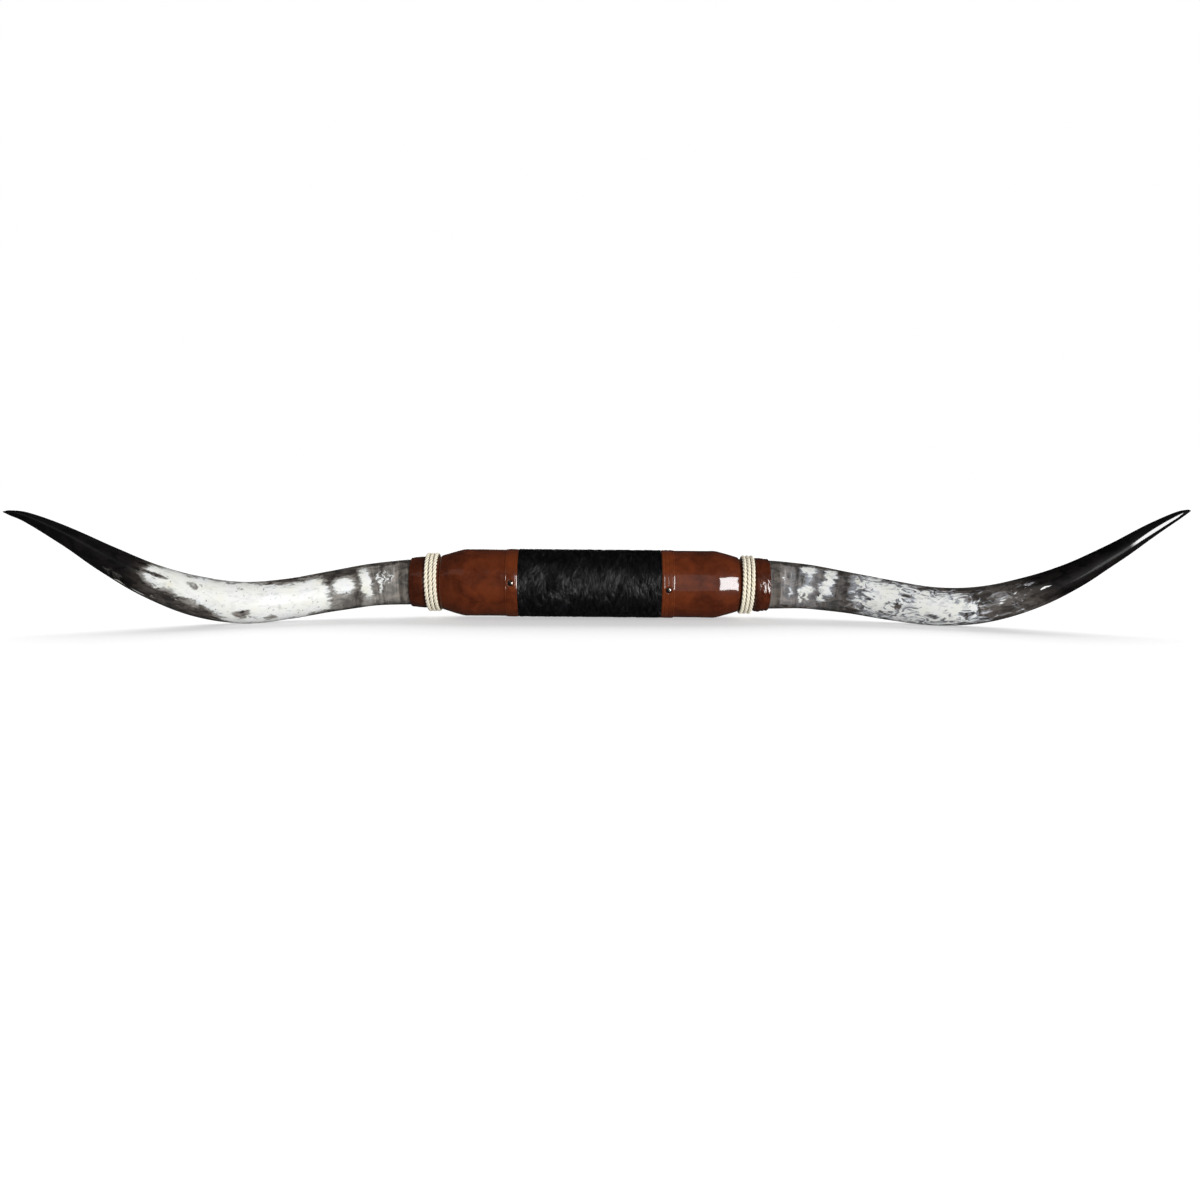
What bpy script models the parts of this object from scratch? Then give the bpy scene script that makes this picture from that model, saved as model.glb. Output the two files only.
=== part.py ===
"""Mounted longhorn horns: two polished horns on a turned wooden core, dressed with leather, hide and rope.

Metres, +Z up. X runs from horn tip to horn tip and -Y is the front. The origin is on the surface that the
horns stand on, below the middle of the object's box. Everything is modelled around the middle of the round
core, whose axis runs along X, and an empty there carries it all to its place.
"""

import math

import bmesh
import bpy
from mathutils import Matrix, Vector

# The core's middle in the object's frame. The right horn is the longer one, so the core sits left of centre,
# and both horns sweep forward, so it stands behind the middle of the box.
CORE_MIDDLE = Vector((-0.0107, 0.0454, 0.0540))
# The horns that the core stands on differ a little, so its right end is the lower one
CORE_TILT = math.radians(0.35)

# What touches keeps this gap, and the horn's bend needs more room at the neck's open end
FIT_GAP = 0.0003
OPEN_END_GAP = 0.0009

# The core, all distances along its axis measured from its middle
CORE_RADIUS = 0.0495
CORE_SHOULDER = 0.1925
CORE_END = 0.213
CORE_END_RADIUS = 0.0430

# The hair-on hide around the middle of the core, to the tips of its hair
HIDE_HALF_LENGTH = 0.1105
HIDE_RADIUS = 0.0533
HIDE_EDGE_ROUNDING = 0.0015
HIDE_SIDES = 48

# The leather sleeve: a tube over the core, a cone at its shoulder, and a neck on the horn's base
SLEEVE_RADIUS = 0.0521
SLEEVE_SHOULDER = 0.1955
SLEEVE_END = 0.278
CONE_MIDDLE = (0.2215, 0.0450)
CONE_FOOT_RADIUS = 0.0424
SLEEVE_SIDES = 36

# The strap over each joint of hide and sleeve
STRAP_WIDTH = 0.0195
STRAP_RADIUS = 0.0530
STRAP_EDGE_ROUNDING = 0.0006

# The dome-headed tack in each strap
TACK_RADIUS = 0.0045
TACK_DOME = 0.0025
TACK_SIDES = 16
TACK_RINGS = 4

# The rope around each neck: turns that touch, a little flattened, in a groove that they press into the leather
ROPE_MIDDLE = 0.2435
ROPE_HALF_WIDTH = 0.0032
ROPE_HALF_HEIGHT = 0.0028
ROPE_PITCH = 0.0065
ROPE_HALF_TURNS = 1.4
ROPE_STEPS = 70
ROPE_SIDES = 7
GROOVE_RADIUS = 0.0396
GROOVE_HALF_WIDTH = 0.0112
GROOVE_WALL = 0.0026

# Each horn's stations: out from the core's middle, forward, up from the core's axis, and the horn's radius
LEFT_HORN = (
    (0.2135, 0.000, 0.0000, 0.0346),
    (0.2450, 0.000, 0.0000, 0.0350),
    (0.2800, 0.001, -0.0003, 0.0355),
    (0.3350, 0.010, -0.0038, 0.0331),
    (0.3950, 0.031, -0.0127, 0.0315),
    (0.4550, 0.057, -0.0221, 0.0307),
    (0.5150, 0.084, -0.0259, 0.0311),
    (0.5750, 0.105, -0.0152, 0.0297),
    (0.6350, 0.120, 0.0073, 0.0255),
    (0.6950, 0.129, 0.0399, 0.0202),
    (0.7550, 0.133, 0.0748, 0.0136),
    (0.8050, 0.134, 0.0990, 0.0077),
    (0.8300, 0.134, 0.1060, 0.0042),
    (0.8410, 0.134, 0.1076, 0.0010),
)
RIGHT_HORN = (
    (0.2135, 0.000, 0.0000, 0.0360),
    (0.2450, 0.000, 0.0000, 0.0366),
    (0.2800, 0.001, 0.0004, 0.0378),
    (0.3350, 0.010, -0.0012, 0.0347),
    (0.3950, 0.031, -0.0080, 0.0317),
    (0.4550, 0.057, -0.0164, 0.0302),
    (0.5150, 0.084, -0.0223, 0.0285),
    (0.5750, 0.105, -0.0176, 0.0270),
    (0.6350, 0.120, -0.0004, 0.0247),
    (0.6950, 0.129, 0.0266, 0.0198),
    (0.7550, 0.133, 0.0622, 0.0145),
    (0.8050, 0.134, 0.0947, 0.0102),
    (0.8400, 0.134, 0.1151, 0.0066),
    (0.8560, 0.134, 0.1226, 0.0031),
    (0.8610, 0.134, 0.1238, 0.0010),
)
# A horn is a little narrower from front to back than it is high
HORN_OVAL = 0.95
HORN_SIDES = 24
HORN_RINGS_PER_SPAN = 3

# The neck's radius outside the leather, past the rope and at its open end, for each side
LEFT_NECK = (0.0403, 0.0382)
RIGHT_NECK = (0.0418, 0.0398)

# Each tack's height above the core's axis, as an angle around it
LEFT_TACK_TURN = math.radians(4.0)
RIGHT_TACK_TURN = math.radians(-5.5)

# The saw-tooth hanger at the back, turned up from the core's axis so that the horns hang below it
HANGER_TURN = math.radians(15.0)
HANGER_LENGTH = 0.066
HANGER_HEIGHT = 0.013
HANGER_THICKNESS = 0.0015
HANGER_TAB = 0.011
HANGER_RAISE = 0.0025
HANGER_TOOTH_DEPTH = 0.0022
HANGER_TEETH = 9
HANGER_NAIL_RADIUS = 0.003
HANGER_NAIL_DOME = 0.0011


def clear_scene():
    for old in list(bpy.data.objects):
        bpy.data.objects.remove(old)


def make_material(name, colour, roughness, metallic=0.0):
    material = bpy.data.materials.new(name)
    material.use_nodes = True
    shader = material.node_tree.nodes["Principled BSDF"]
    shader.inputs["Base Color"].default_value = (*colour, 1.0)
    shader.inputs["Roughness"].default_value = roughness
    shader.inputs["Metallic"].default_value = metallic
    material.diffuse_color = (*colour, 1.0)
    return material


def add_part(name, mesh_builder, material, carrier, sharp_angle=math.radians(35.0)):
    """Turns a bmesh into a named part that the carrier holds."""
    bmesh.ops.recalc_face_normals(mesh_builder, faces=mesh_builder.faces)
    mesh = bpy.data.meshes.new(name)
    mesh_builder.to_mesh(mesh)
    mesh_builder.free()
    mesh.materials.append(material)
    mesh.shade_smooth()
    mesh.set_sharp_from_angle(angle=sharp_angle)
    part = bpy.data.objects.new(name, mesh)
    bpy.context.scene.collection.objects.link(part)
    part.parent = carrier
    return part


def turn_profile(profile, sides):
    """Spins a closed outline of (along the axis, radius) points around X."""
    turned = bmesh.new()
    corners = [turned.verts.new((along, 0.0, radius)) for along, radius in profile]
    edges = [turned.edges.new((corners[i - 1], corners[i])) for i in range(len(corners))]
    bmesh.ops.spin(
        turned,
        geom=corners + edges,
        cent=(0.0, 0.0, 0.0),
        axis=(1.0, 0.0, 0.0),
        angle=math.tau,
        steps=sides,
        use_merge=True,
    )
    bmesh.ops.remove_doubles(turned, verts=turned.verts, dist=1e-6)
    return turned


def smooth_through(stations, steps):
    """A Catmull-Rom curve through the stations, with this many steps from each to the next."""
    rows = [Vector(station) for station in stations]
    first = 2 * rows[0] - rows[1]
    last = 2 * rows[-1] - rows[-2]
    rows = [first, *rows, last]
    points = []
    for before, start, end, after in zip(rows, rows[1:], rows[2:], rows[3:]):
        for step in range(steps):
            t = step / steps
            bend = (2 * before - 5 * start + 4 * end - after) * t**2
            swing = (3 * start - 3 * end + after - before) * t**3
            points.append(start + 0.5 * ((end - before) * t + bend + swing))
    return [*points, rows[-2]]


def skin(builder, rings):
    """Joins each ring of corners to the next and closes both ends."""
    for near, far in zip(rings, rings[1:]):
        for i in range(len(near)):
            builder.faces.new((near[i - 1], near[i], far[i], far[i - 1]))
    builder.faces.new(rings[0])
    builder.faces.new(rings[-1])


def loft(centres, radii, sides, oval=1.0):
    """A closed tube along the centres. Its section is oval times as deep as it is high."""
    tube = bmesh.new()
    turns = [math.tau * side / sides for side in range(sides)]
    rings = []
    for i, (centre, radius) in enumerate(zip(centres, radii)):
        ahead = centres[min(i + 1, len(centres) - 1)] - centres[max(i - 1, 0)]
        ahead.normalize()
        across = Vector((0.0, 0.0, 1.0)).cross(ahead).normalized()
        rise = ahead.cross(across)
        rings.append(
            [
                tube.verts.new(centre + radius * (oval * math.cos(turn) * across + math.sin(turn) * rise))
                for turn in turns
            ]
        )
    skin(tube, rings)
    return tube


def make_horn(name, stations, side, material, carrier):
    """side is -1 for the left horn and 1 for the right one."""
    rows = smooth_through(stations, HORN_RINGS_PER_SPAN)
    centres = [Vector((side * out, -forward, up)) for out, forward, up, _ in rows]
    radii = [radius for *_, radius in rows]
    return add_part(name, loft(centres, radii, HORN_SIDES, HORN_OVAL), material, carrier)


def make_core(material, carrier):
    """A plain block with a cone at each end, where the base of a horn meets it."""
    half = [(CORE_SHOULDER, CORE_RADIUS), (CORE_END, CORE_END_RADIUS)]
    outline = [(-along, radius) for along, radius in reversed(half)] + half
    centres = [Vector((along, 0.0, 0.0)) for along, _ in outline]
    radii = [radius for _, radius in outline]
    return add_part("wood_core", loft(centres, radii, SLEEVE_SIDES), material, carrier)


def make_hide(material, carrier):
    inside = CORE_RADIUS + FIT_GAP
    end = HIDE_HALF_LENGTH - FIT_GAP
    rounded = end - HIDE_EDGE_ROUNDING
    shoulder = HIDE_RADIUS - HIDE_EDGE_ROUNDING
    outline = [(-end, inside), (-end, shoulder), (-rounded, HIDE_RADIUS)]
    outline += [(rounded, HIDE_RADIUS), (end, shoulder), (end, inside)]
    return add_part("hide_wrap", turn_profile(outline, HIDE_SIDES), material, carrier)


def make_sleeve(name, side, neck, horn_radii, material, carrier):
    """The leather follows the core's tube and cone, then grips the horn's base under the rope."""
    past_rope, at_end = neck
    inside_groove = horn_radii[0] + FIT_GAP
    inside_end = horn_radii[1] + OPEN_END_GAP
    groove_start = ROPE_MIDDLE - GROOVE_HALF_WIDTH
    groove_end = ROPE_MIDDLE + GROOVE_HALF_WIDTH
    outer = [
        (HIDE_HALF_LENGTH, SLEEVE_RADIUS),
        (SLEEVE_SHOULDER, SLEEVE_RADIUS),
        CONE_MIDDLE,
        (groove_start - GROOVE_WALL, CONE_FOOT_RADIUS),
        (groove_start, GROOVE_RADIUS),
        (groove_end, GROOVE_RADIUS),
        (groove_end + GROOVE_WALL, past_rope),
        (SLEEVE_END, at_end),
    ]
    inner = [
        (SLEEVE_END, inside_end),
        (ROPE_MIDDLE, inside_groove),
        (CORE_END + 0.006, inside_groove),
        (CORE_END + 0.002, CORE_END_RADIUS + FIT_GAP),
        (CORE_SHOULDER, CORE_RADIUS + FIT_GAP),
        (HIDE_HALF_LENGTH, CORE_RADIUS + FIT_GAP),
    ]
    outline = [(side * along, radius) for along, radius in outer + inner]
    return add_part(name, turn_profile(outline, SLEEVE_SIDES), material, carrier)


def make_strap(name, side, material, carrier):
    near = HIDE_HALF_LENGTH
    far = near + STRAP_WIDTH
    inside = SLEEVE_RADIUS + FIT_GAP
    shoulder = STRAP_RADIUS - STRAP_EDGE_ROUNDING
    outline = [
        (near, inside),
        (near, shoulder),
        (near + STRAP_EDGE_ROUNDING, STRAP_RADIUS),
        (far - STRAP_EDGE_ROUNDING, STRAP_RADIUS),
        (far, shoulder),
        (far, inside),
    ]
    outline = [(side * along, radius) for along, radius in outline]
    return add_part(name, turn_profile(outline, SLEEVE_SIDES), material, carrier)


def dome(radius, height, sides, rings):
    """A tack's head: part of a ball, flat below, rising along +Z from its rim."""
    head = bmesh.new()
    ball = (radius**2 + height**2) / (2 * height)
    reach = math.asin(radius / ball)
    loops = []
    for ring in range(rings):
        turn = reach * (1 - ring / rings)
        loops.append(
            bmesh.ops.create_circle(
                head,
                segments=sides,
                radius=ball * math.sin(turn),
                matrix=Matrix.Translation((0.0, 0.0, ball * math.cos(turn) - ball + height)),
            )["verts"]
        )
    for low, high in zip(loops, loops[1:]):
        for side in range(sides):
            head.faces.new((low[side - 1], low[side], high[side], high[side - 1]))
    top = head.verts.new((0.0, 0.0, height))
    for side in range(sides):
        head.faces.new((loops[-1][side - 1], loops[-1][side], top))
    head.faces.new(loops[0])
    return head


def seat_on_core(head, along, out, turn, facing):
    """Stands a part made along +Z on the round core. facing is -1 at the front and 1 at the back."""
    lay_over = Matrix.Rotation(-facing * math.pi / 2, 4, "X")
    around = Matrix.Rotation(facing * turn, 4, "X")
    bmesh.ops.transform(
        head,
        matrix=around @ Matrix.Translation((along, facing * out, 0.0)) @ lay_over,
        verts=head.verts,
    )
    return head


def make_tack(name, side, turn, material, carrier):
    head = dome(TACK_RADIUS, TACK_DOME, TACK_SIDES, TACK_RINGS)
    along = side * (HIDE_HALF_LENGTH + STRAP_WIDTH / 2)
    seat_on_core(head, along, STRAP_RADIUS + FIT_GAP, turn, -1)
    return add_part(name, head, material, carrier)


def make_rope(name, side, material, carrier):
    """One rope in a groove of the neck. It passes the front three times, and both its ends lie at the back."""
    lay = GROOVE_RADIUS + 2 * FIT_GAP + ROPE_HALF_HEIGHT
    lengthwise = Vector((1.0, 0.0, 0.0))
    corners = [math.tau * corner / ROPE_SIDES for corner in range(ROPE_SIDES)]
    rope = bmesh.new()
    rings = []
    for step in range(ROPE_STEPS + 1):
        turns = ROPE_HALF_TURNS * (2 * step / ROPE_STEPS - 1)
        outward = Vector((0.0, -math.cos(math.tau * turns), math.sin(math.tau * turns)))
        centre = lay * outward + side * (ROPE_MIDDLE + ROPE_PITCH * turns) * lengthwise
        rings.append(
            [
                rope.verts.new(
                    centre
                    + ROPE_HALF_HEIGHT * math.cos(corner) * outward
                    + ROPE_HALF_WIDTH * math.sin(corner) * lengthwise
                )
                for corner in corners
            ]
        )
    skin(rope, rings)
    return add_part(name, rope, material, carrier)


def make_hanger(material, carrier):
    """A strip nailed at both ends, with a raised middle whose lower edge is cut into teeth."""
    half = HANGER_LENGTH / 2
    step_out = half - HANGER_TAB
    step_in = step_out - 2 * HANGER_RAISE
    bottom, top = -HANGER_HEIGHT / 2, HANGER_HEIGHT / 2
    pitch = 2 * step_in / HANGER_TEETH
    lower = [(-half, bottom), (-step_out, bottom), (-step_in, bottom)]
    for tooth in range(HANGER_TEETH):
        start = -step_in + tooth * pitch
        lower += [(start + pitch / 2, bottom + HANGER_TOOTH_DEPTH), (start + pitch, bottom)]
    lower += [(step_out, bottom), (half, bottom)]
    strip = bmesh.new()
    front = []
    for x, y in lower:
        raised = HANGER_RAISE if abs(x) < step_in + 1e-6 else 0.0
        front.append((strip.verts.new((x, y, raised)), strip.verts.new((x, top, raised))))
    faces = [
        strip.faces.new((near[0], far[0], far[1], near[1])) for near, far in zip(front, front[1:])
    ]
    thick = bmesh.ops.extrude_face_region(strip, geom=faces)["geom"]
    lifted = [item for item in thick if isinstance(item, bmesh.types.BMVert)]
    bmesh.ops.translate(strip, verts=lifted, vec=(0.0, 0.0, HANGER_THICKNESS))
    seat_on_core(strip, 0.0, HIDE_RADIUS + FIT_GAP, HANGER_TURN, 1)
    return add_part("hanger_plate", strip, material, carrier)


def make_hanger_nail(name, side, material, carrier):
    head = dome(HANGER_NAIL_RADIUS, HANGER_NAIL_DOME, TACK_SIDES, 2)
    along = side * (HANGER_LENGTH - HANGER_TAB) / 2
    out = HIDE_RADIUS + HANGER_THICKNESS + 2 * FIT_GAP
    seat_on_core(head, along, out, HANGER_TURN, 1)
    return add_part(name, head, material, carrier)


def main():
    clear_scene()
    carrier = bpy.data.objects.new("core_middle", None)
    carrier.location = CORE_MIDDLE
    carrier.rotation_euler.y = CORE_TILT
    bpy.context.scene.collection.objects.link(carrier)

    horn = make_material("polished_horn", (0.42, 0.40, 0.37), 0.18)
    leather = make_material("brown_leather", (0.13, 0.035, 0.012), 0.28)
    hide = make_material("black_hide", (0.010, 0.010, 0.011), 0.45)
    rope = make_material("cream_rope", (0.72, 0.64, 0.47), 0.85)
    steel = make_material("nickel_steel", (0.62, 0.60, 0.57), 0.18, 1.0)
    wood = make_material("turned_wood", (0.47, 0.30, 0.16), 0.65)

    make_core(wood, carrier)
    make_hide(hide, carrier)
    sides = (
        ("left", -1, LEFT_HORN, LEFT_NECK, LEFT_TACK_TURN),
        ("right", 1, RIGHT_HORN, RIGHT_NECK, RIGHT_TACK_TURN),
    )
    for word, side, stations, neck, tack_turn in sides:
        make_horn(f"horn_{word}", stations, side, horn, carrier)
        radii = [radius for *_, radius in stations]
        make_sleeve(f"leather_sleeve_{word}", side, neck, radii[1:3], leather, carrier)
        make_strap(f"strap_{word}", side, leather, carrier)
        make_tack(f"strap_tack_{word}", side, tack_turn, steel, carrier)
        make_rope(f"rope_{word}", side, rope, carrier)
        make_hanger_nail(f"hanger_nail_{word}", side, steel, carrier)
    make_hanger(steel, carrier)


main()
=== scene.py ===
# %% [markdown]
# # Mounted longhorn horns
#
# Two polished steer horns meet on a round core. Black hair-on hide dresses the middle of the core, brown
# leather its sides, and a rope is wound around each leather neck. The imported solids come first, as the frame
# that every visible piece is fitted to.

# %% The frame
import math

import bpy
import numpy as np
from mathutils import Matrix, Vector, noise


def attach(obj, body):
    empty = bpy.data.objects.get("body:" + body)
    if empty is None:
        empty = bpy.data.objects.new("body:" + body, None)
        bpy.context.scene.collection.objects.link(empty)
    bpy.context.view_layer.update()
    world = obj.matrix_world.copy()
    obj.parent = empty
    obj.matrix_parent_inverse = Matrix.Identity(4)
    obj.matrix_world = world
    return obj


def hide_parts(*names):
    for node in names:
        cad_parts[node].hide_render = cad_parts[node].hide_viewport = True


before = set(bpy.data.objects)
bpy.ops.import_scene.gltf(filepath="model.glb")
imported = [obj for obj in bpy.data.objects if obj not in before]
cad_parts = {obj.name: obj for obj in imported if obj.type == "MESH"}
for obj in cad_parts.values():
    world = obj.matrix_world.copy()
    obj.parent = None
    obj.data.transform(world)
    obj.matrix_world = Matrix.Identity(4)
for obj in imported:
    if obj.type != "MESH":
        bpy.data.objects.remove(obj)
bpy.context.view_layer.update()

# %% [markdown]
# ## Where things are
#
# The whole object is built around the middle of its core, with the core's axis along X and the front towards
# -Y. The core leans a third of a degree, because it stands on two horns that aren't quite alike. Pieces are
# modelled level around the axis and put in place at the end, so that a ring is always a plain circle.

# %% The core's place
CORE_MIDDLE = Vector((-0.0107, 0.0454, 0.0540))
CORE_TILT = math.radians(0.35)
CORE_PLACE = Matrix.Translation(CORE_MIDDLE) @ Matrix.Rotation(CORE_TILT, 4, "Y")
LEFT, RIGHT = -1, 1
print("core middle", tuple(CORE_MIDDLE))

# %% [markdown]
# ## The camera
#
# The photograph looks at the middle of the object from a little above, six degrees, and so close that both
# tips nearly touch the frame. A lens of 33 mm on a 36 mm sensor gives that view.

# %% The camera
AIM = Vector((0.00515, 0.0454, 0.0277))
CAMERA_DISTANCE = 1.7124
CAMERA_HEIGHT = math.radians(6.0)
CAMERA_ROLL = math.radians(0.15)
LENS, SENSOR = 32.74, 36.0


def add_camera():
    stand = AIM + CAMERA_DISTANCE * Vector((0.0, -math.cos(CAMERA_HEIGHT), math.sin(CAMERA_HEIGHT)))
    bpy.ops.object.camera_add(location=stand)
    camera = bpy.context.object
    camera.name = "photo_camera"
    look = Matrix.Rotation(math.pi / 2 - CAMERA_HEIGHT, 4, "X") @ Matrix.Rotation(CAMERA_ROLL, 4, "Z")
    camera.matrix_world = Matrix.Translation(stand) @ look
    camera.data.lens = LENS
    camera.data.sensor_width = SENSOR
    bpy.context.scene.camera = camera
    return camera


print("camera at", tuple(add_camera().location))

# %% [markdown]
# ## Small helpers for materials
#
# Every finish here is a node tree, and a tree is easier to read when one short call makes a node, sets it and
# wires what comes into it. The helpers below do no more than that, and each new node goes into the tree of
# what is wired into it.

# %% Making and wiring nodes


def is_wire(value):
    return isinstance(value, bpy.types.NodeSocket)


def wire(inputs, values):
    """Wires the outputs of other nodes into these inputs, and sets plain values on them."""
    for name, value in values.items():
        if is_wire(value):
            value.id_data.links.new(value, inputs[name])
        else:
            inputs[name].default_value = value


def make_node(kind, values, **settings):
    """A node in the same tree as what is wired into it."""
    tree = next(value.id_data for value in values.values() if is_wire(value))
    made = tree.nodes.new(kind)
    for name, value in settings.items():
        setattr(made, name, value)
    wire(made.inputs, values)
    return made


def add_node(kind, values, **settings):
    return make_node(kind, values, **settings).outputs


def work_out(operation, *values):
    return add_node("ShaderNodeMath", dict(enumerate(values)), operation=operation)[0]


def scaled(value, factor, *plus):
    """The value times a factor, plus something where that is given."""
    return work_out("MULTIPLY_ADD" if plus else "MULTIPLY", value, factor, *plus)


def vector_math(operation, *values, result=0):
    return add_node("ShaderNodeVectorMath", dict(enumerate(values)), operation=operation)[result]


def stretch(place, scale):
    return vector_math("MULTIPLY", place, scale)


def parts_of(place):
    return add_node("ShaderNodeSeparateXYZ", {0: place})


def own_place(tree):
    return tree.nodes.new("ShaderNodeTexCoord").outputs["Object"]


def kept(tree, name, result="Vector"):
    """What is stored on the corners under this name."""
    attribute = tree.nodes.new("ShaderNodeAttribute")
    attribute.attribute_name = name
    return attribute.outputs[result]


def fade(value, low, high, to_low=0.0, to_high=1.0):
    """Turns a value from low to high into a soft step from to_low to to_high."""
    ends = {"Value": value, "From Min": low, "From Max": high, "To Min": to_low, "To Max": to_high}
    return add_node("ShaderNodeMapRange", ends, interpolation_type="SMOOTHSTEP")[0]


def blend(amount, *colours):
    start, end = [(*colour, 1.0) if isinstance(colour, tuple) else colour for colour in colours]
    return add_node("ShaderNodeMix", {0: amount, 6: start, 7: end}, data_type="RGBA")[2]


def ramp(value, stops):
    made = make_node("ShaderNodeValToRGB", {0: value})
    elements = made.color_ramp.elements
    while len(elements) > 1:
        elements.remove(elements[-1])
    for i, (position, colour) in enumerate(stops):
        element = elements[0] if i == 0 else elements.new(position)
        element.position = position
        element.color = (*colour, 1.0)
    return made.outputs[0]


def cloud(place, scale, detail=3.0, roughness=0.5, lean=0.0, result=0):
    values = {"Vector": place, "Scale": scale, "Detail": detail, "Roughness": roughness, "Distortion": lean}
    return add_node("ShaderNodeTexNoise", values)[result]


def streaks(place, scale, *settings, result=0):
    """A cloud with its own scale along each axis."""
    return cloud(stretch(place, scale), 1.0, *settings, result=result)


def add_bump(height, distance, strength):
    return add_node("ShaderNodeBump", {"Height": height, "Distance": distance, "Strength": strength})[0]


print("node helpers ready")

# %% New materials and groups


def new_material(name, **sockets):
    """A material with one Principled shader. What is the same all over is set on the shader itself."""
    material = bpy.data.materials.new(name)
    material.use_nodes = True
    shader = material.node_tree.nodes["Principled BSDF"].inputs
    for socket, value in sockets.items():
        shader[socket.replace("_", " ")].default_value = value
    return material, material.node_tree, shader


def new_group(name, results, **inputs):
    """Each input has its usual value. One that is three numbers is a place or a direction."""
    group = bpy.data.node_groups.new(name, "ShaderNodeTree")
    for label, value in inputs.items():
        kind = "NodeSocketVector" if isinstance(value, tuple) else "NodeSocketFloat"
        group.interface.new_socket(label, in_out="INPUT", socket_type=kind).default_value = value
    for label in results:
        group.interface.new_socket(label, in_out="OUTPUT", socket_type="NodeSocketFloat")
    return group, group.nodes.new("NodeGroupInput").outputs, group.nodes.new("NodeGroupOutput").inputs


def use_group(group, **inputs):
    return add_node("ShaderNodeGroup", inputs, node_tree=group)


print("material helpers ready")

# %% [markdown]
# ## The studio
#
# The floor is plain and nearly white. A wide low sun from behind lights it alone, which gives the soft grey
# shadow in front of the object and no edge where floor and background meet, and a little light of the floor's
# own keeps that shadow pale. The object has lights of its own: a tall softbox to the right of the camera, whose
# clear reflection shows on the right cone and the right tip, two dim ones that give hair and horn their soft
# sheen, and two at the back for the other views. The larger of those isn't mirrored, so that it leaves no
# bright line along the top of the leather.

# %% The floor
FLOOR_SIZE = 60.0


def add_floor():
    bpy.ops.object.select_all(action="DESELECT")
    bpy.ops.mesh.primitive_plane_add(size=FLOOR_SIZE)
    floor = bpy.context.object
    floor.name = "floor"
    floor.visible_glossy = False
    floor.visible_diffuse = False
    floor.visible_shadow = False
    material, _, _ = new_material(
        "pale floor", Base_Color=(0.5, 0.5, 0.5, 1.0), Roughness=0.9, Specular_IOR_Level=0.0,
        Emission_Color=(1.0, 1.0, 1.0, 1.0), Emission_Strength=0.50,
    )
    floor.data.materials.append(material)
    return floor


floor = add_floor()
print("floor", FLOOR_SIZE, "m")

# %% Which light reaches what
CORE_HEIGHT = Vector((0.0, 0.0, 0.054))
only_floor = bpy.data.collections.new("only the floor")
only_floor.objects.link(floor)
all_but_floor = bpy.data.collections.new("all but the floor")
all_but_floor.objects.link(floor)
all_but_floor.collection_objects[0].light_linking.link_state = "EXCLUDE"


def aim_light(light, target):
    light.rotation_euler = (target - light.location).to_track_quat("-Z", "Y").to_euler()


def add_softbox(name, turn, height, distance, size, brightness):
    """A softbox seen from the core at this turn to the right of the camera and this height, in degrees."""
    turn, height = math.radians(turn), math.radians(height)
    away = Vector((math.sin(turn) * math.cos(height), -math.cos(turn) * math.cos(height), math.sin(height)))
    bpy.ops.object.light_add(type="AREA", location=CORE_HEIGHT + distance * away)
    light = bpy.context.object
    light.name = name
    light.data.shape = "RECTANGLE"
    light.data.size, light.data.size_y = size
    light.data.energy = brightness * math.pi * size[0] * size[1]
    aim_light(light, CORE_HEIGHT)
    light.light_linking.receiver_collection = all_but_floor
    return light


print("light groups", only_floor.name, "and", all_but_floor.name)

# %% The lights
SUN_STRENGTH = 5.8
SUN_ANGLE = math.radians(72.0)
add_softbox("key softbox", 41.0, 5.5, 5.0, (1.4, 3.7), 14.5)
add_softbox("front softbox", 5.5, 10.0, 4.0, (1.5, 4.2), 0.28)
add_softbox("left softbox", -35.0, 38.0, 4.0, (2.5, 1.2), 0.16)
add_softbox("back softbox", 195.0, 30.0, 4.0, (3.2, 1.8), 2.4).visible_glossy = False
add_softbox("back glint", 190.0, 6.0, 4.0, (2.0, 1.0), 1.5)

bpy.ops.object.light_add(type="SUN", location=(0.0, 4.3, 2.0))
sun = bpy.context.object
sun.name = "floor sun"
sun.data.energy = SUN_STRENGTH
sun.data.angle = SUN_ANGLE
aim_light(sun, Vector((0.0, 0.0, 0.0)))
sun.light_linking.receiver_collection = only_floor
print("floor sun", sun.data.energy)

# %% [markdown]
# ## The surroundings
#
# A photographer's white room looks white to the camera, but polished pieces in it reflect the dark part of the
# studio behind the camera. The world does the same: white for the camera, a fill for matt surfaces, and nearly
# dark for reflections.

# %% The world
WORLD_FILL = 0.36
WORLD_IN_REFLECTIONS = 0.025


def add_world():
    world = bpy.data.worlds.new("white studio")
    bpy.context.scene.world = world
    world.use_nodes = True
    ray = world.node_tree.nodes.new("ShaderNodeLightPath").outputs
    seen = scaled(ray["Is Camera Ray"], 1.0 - WORLD_FILL, WORLD_FILL)
    strength = scaled(ray["Is Glossy Ray"], WORLD_IN_REFLECTIONS - WORLD_FILL, seen)
    wire(world.node_tree.nodes["Background"].inputs, {"Color": (1.0, 1.0, 1.0, 1.0), "Strength": strength})


add_world()
bpy.context.scene.view_settings.view_transform = "Standard"
print("world fill", WORLD_FILL)

# %% [markdown]
# ## Effects that several finishes share
#
# Three effects come back in more than one material, so each is a node group: blotches, which are a slow change
# of tone over a surface, scratches, which are fine lines along one direction, and grain, the small pebbles of
# leather. Each material places them with its own sizes.

# %% Blotches and scratches


def make_blotches():
    group, given, wanted = new_group("Blotches", ["Amount"], Place=(0, 0, 0), Size=0.03, Contrast=1.0)
    scale = work_out("DIVIDE", 1.0, given["Size"])
    large = cloud(given["Place"], scale, 4.0, 0.55, 0.6)
    strong = scaled(work_out("SUBTRACT", large, 0.5), given["Contrast"], 0.5)
    wire(wanted, {"Amount": add_node("ShaderNodeClamp", {0: strong})[0]})
    return group


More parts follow.
